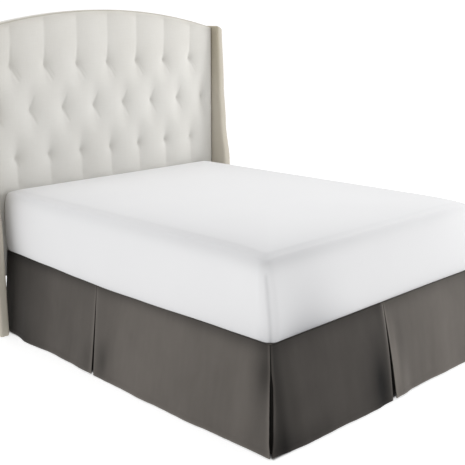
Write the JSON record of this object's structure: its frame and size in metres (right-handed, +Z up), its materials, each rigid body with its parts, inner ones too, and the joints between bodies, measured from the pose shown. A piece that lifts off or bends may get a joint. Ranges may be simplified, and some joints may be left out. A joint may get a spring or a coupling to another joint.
{
  "type": "bed skirt on a bed",
  "caption": "Tailored floor-length bed skirt with inverted pleats, hanging from its deck on a bed with a fitted sheet, box spring, metal frame and tufted winged headboard.",
  "frame": {"origin": "under the middle of the whole object's footprint, at floor level", "axes": "+X to the bed's right as seen from the foot, +Y towards the headboard, +Z up"},
  "size_m": [1.8006, 2.2298, 1.774],
  "materials": {
    "skirt_cloth": "brushed charcoal microfibre",
    "sheet_cloth": "smooth white cotton",
    "ticking": "plain pale ticking",
    "headboard_cloth": "ivory linen weave",
    "wing_cloth": "beige linen weave",
    "frame_steel": "black powder coat",
    "post_wood": "dark stained wood"
  },
  "bodies": {
    "root": {"skirt_deck": "skirt_cloth", "skirt_drop_left": "skirt_cloth", "skirt_drop_right": "skirt_cloth", "skirt_drop_foot": "skirt_cloth", "corner_insert_left": "skirt_cloth", "corner_insert_right": "skirt_cloth", "fitted_sheet": "sheet_cloth", "mattress": "ticking", "box_spring": "ticking", "side_rail_left": "frame_steel", "side_rail_right": "frame_steel", "cross_bar_1": "frame_steel", "cross_bar_2": "frame_steel", "cross_bar_3": "frame_steel", "leg_1": "frame_steel", "leg_2": "frame_steel", "leg_3": "frame_steel", "leg_4": "frame_steel", "leg_5": "frame_steel", "headboard_panel": "headboard_cloth", "wing_left": "wing_cloth", "wing_right": "wing_cloth", "headboard_post_left": "post_wood", "headboard_post_right": "post_wood"}
  },
  "joints": []
}
